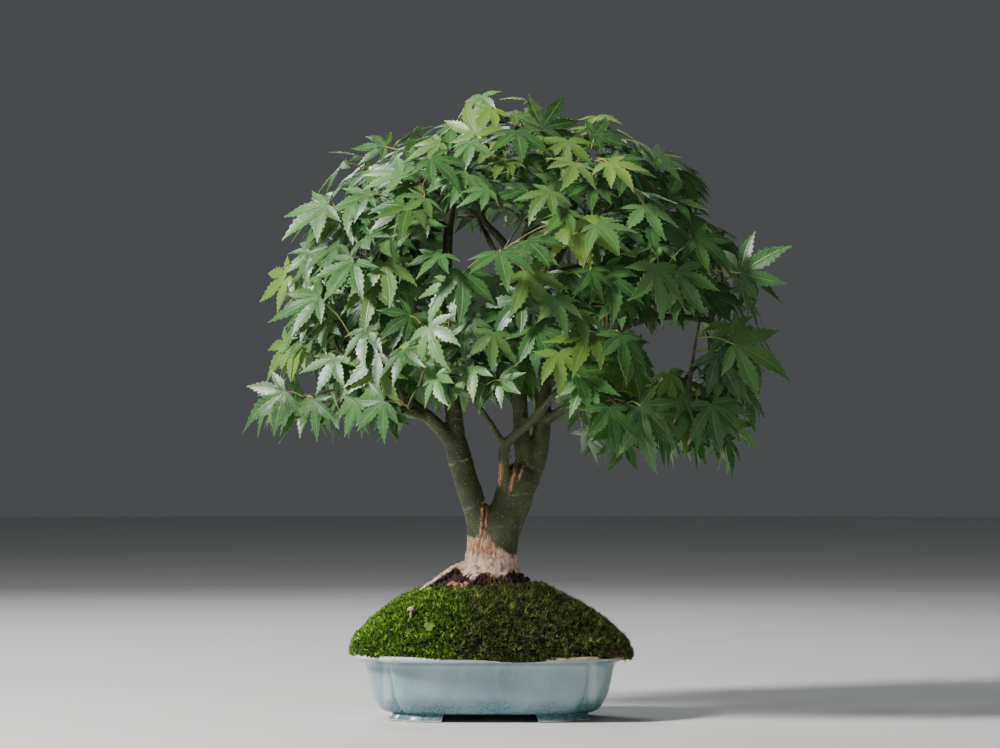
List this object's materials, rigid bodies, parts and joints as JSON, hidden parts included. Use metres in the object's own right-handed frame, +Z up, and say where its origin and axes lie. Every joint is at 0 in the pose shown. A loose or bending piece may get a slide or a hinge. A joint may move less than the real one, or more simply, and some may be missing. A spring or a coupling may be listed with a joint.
{
  "type": "potted bonsai maple tree",
  "caption": "Potted bonsai maple with a forked trunk, palmate leaves, a mossy soil mound and a shallow lobed glazed pot on low feet.",
  "frame": {"origin": "on the surface the pot stands on, below the middle of the whole object's bounding box; the pot's own middle is 17.4 mm to the left of it (-X) and 7.0 mm behind it (+Y)", "axes": "+Z up along the trunks, the front of the tree faces -Y, +X to the viewer's right from the front"},
  "size_m": [0.3759, 0.3125, 0.4316],
  "materials": {
    "glazed_pot": "pale blue-grey celadon glaze, glossy, teal speckle near the foot, tan stain on the lip",
    "soil": "dark fibrous soil with bark chips",
    "moss_bright": "bright yellow-green cushion moss, matte",
    "moss_dark": "dark olive wiry moss, matte",
    "bark": "smooth olive-green bark with pale flecks, cream and pinkish at the base",
    "maple_leaf": "sage to deep green leaf blades with a waxy sheen, paler veins",
    "mushroom": "beige, matte",
    "clover": "light green, satin",
    "drainage_plastic": "black plastic screen"
  },
  "bodies": {
    "root": {"clover_sprig": "clover", "drainage_mesh_left": "drainage_plastic", "drainage_mesh_right": "drainage_plastic", "leaf_shoot_01": "maple_leaf", "leaf_shoot_02": "maple_leaf", "leaf_shoot_03": "maple_leaf", "leaf_shoot_04": "maple_leaf", "leaf_shoot_05": "maple_leaf", "leaf_shoot_06": "maple_leaf", "leaf_shoot_07": "maple_leaf", "leaf_shoot_08": "maple_leaf", "leaf_shoot_09": "maple_leaf", "leaf_shoot_10": "maple_leaf", "leaf_shoot_11": "maple_leaf", "leaf_shoot_12": "maple_leaf", "leaf_shoot_13": "maple_leaf", "leaf_shoot_14": "maple_leaf", "leaf_shoot_15": "maple_leaf", "leaf_shoot_16": "maple_leaf", "leaf_shoot_17": "maple_leaf", "leaf_shoot_18": "maple_leaf", "leaf_shoot_19": "maple_leaf", "leaf_shoot_20": "maple_leaf", "leaf_shoot_21": "maple_leaf", "leaf_shoot_22": "maple_leaf", "leaf_shoot_23": "maple_leaf", "leaf_shoot_24": "maple_leaf", "leaf_shoot_25": "maple_leaf", "leaf_shoot_26": "maple_leaf", "leaf_shoot_27": "maple_leaf", "leaf_shoot_28": "maple_leaf", "leaf_shoot_29": "maple_leaf", "leaf_shoot_30": "maple_leaf", "leaf_shoot_31": "maple_leaf", "leaf_shoot_32": "maple_leaf", "leaf_shoot_33": "maple_leaf", "leaf_shoot_34": "maple_leaf", "leaf_shoot_35": "maple_leaf", "leaf_shoot_36": "maple_leaf", "leaf_shoot_37": "maple_leaf", "leaf_shoot_38": "maple_leaf", "leaf_shoot_39": "maple_leaf", "leaf_shoot_40": "maple_leaf", "leaf_shoot_41": "maple_leaf", "leaf_shoot_42": "maple_leaf", "leaf_shoot_43": "maple_leaf", "leaf_shoot_44": "maple_leaf", "leaf_shoot_45": "maple_leaf", "leaf_shoot_46": "maple_leaf", "moss_left": "moss_bright", "moss_right": "moss_dark", "mushroom": "mushroom", "pot": "glazed_pot", "soil": "soil", "trunk": "bark"}
  },
  "joints": []
}
